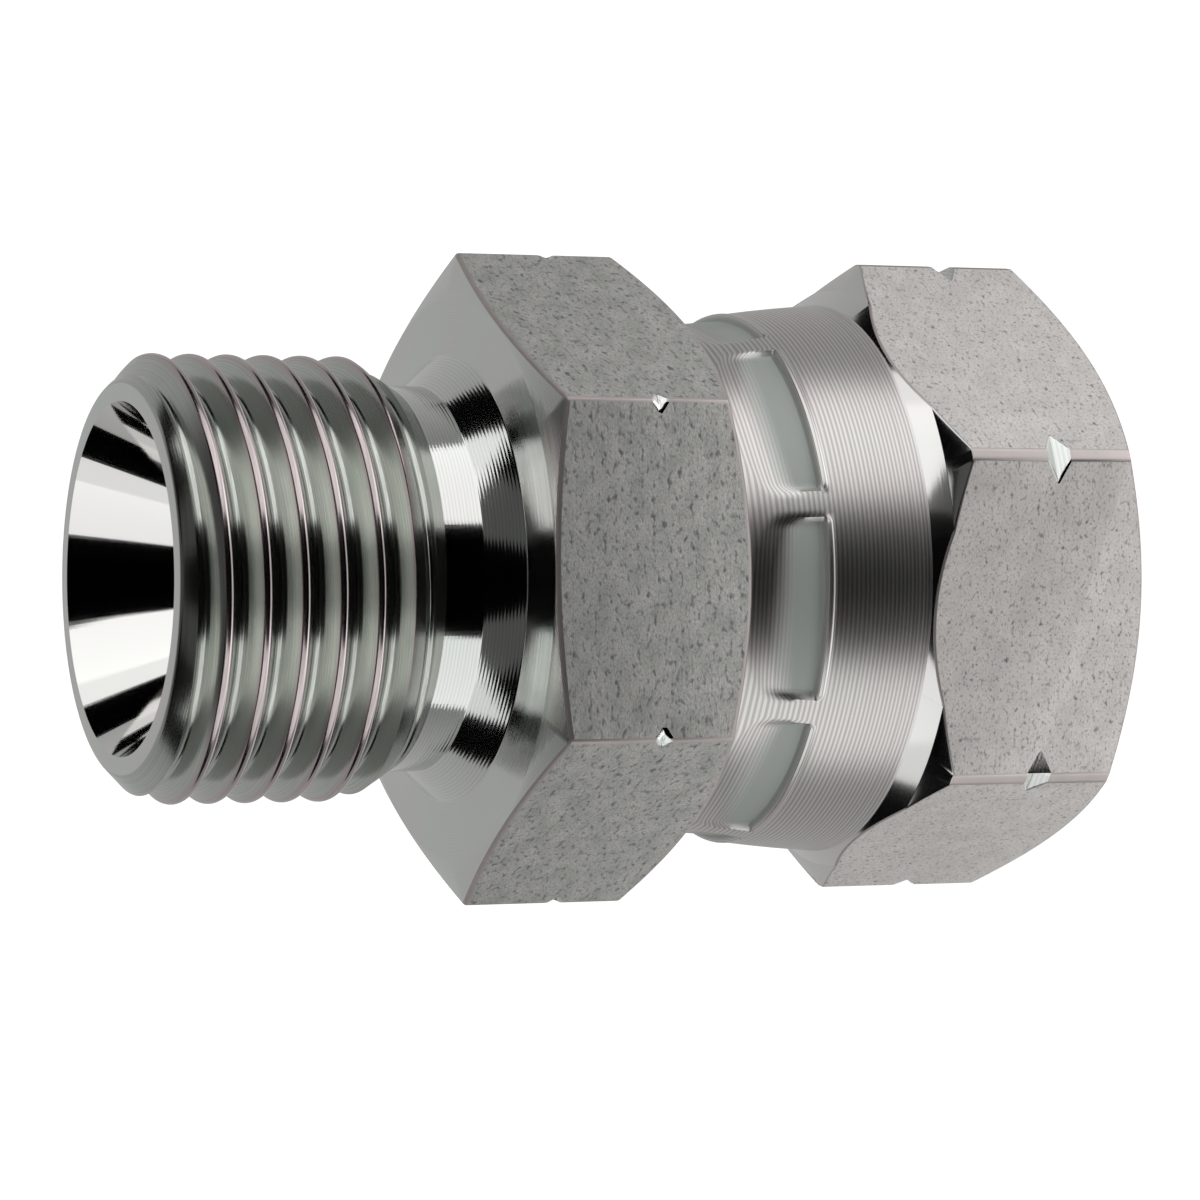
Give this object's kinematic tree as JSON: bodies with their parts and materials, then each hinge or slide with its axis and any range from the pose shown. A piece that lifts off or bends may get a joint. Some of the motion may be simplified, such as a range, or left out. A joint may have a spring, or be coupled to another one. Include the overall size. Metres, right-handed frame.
{
  "type": "hydraulic swivel adapter",
  "caption": "Straight hydraulic adapter: a male pipe thread with a coned mouth, a hexagon, and a swivel nut crimped over its nose.",
  "frame": {"origin": "centre of the swivel nut's end face, on which the adapter stands", "axes": "+Z along the axis towards the male end; two corners of the body's hexagon lie on the X axis and two of its flats face -Y and +Y"},
  "size_m": [0.0312, 0.0292, 0.0469],
  "materials": {
    "body_steel": "zinc plated, turned faces bright, hexagon flats matt",
    "nut_steel": "zinc plated, turned collar bright, hexagon flats matt"
  },
  "bodies": {
    "adapter": {"adapter_body": "body_steel"},
    "nut": {"swivel_nut": "nut_steel"}
  },
  "joints": [
    {"name": "nut_swivel", "type": "hinge", "parent": "adapter", "child": "nut", "pos_m": [0, 0, 0.01], "axis": [0, 0, 1], "continuous": true}
  ]
}
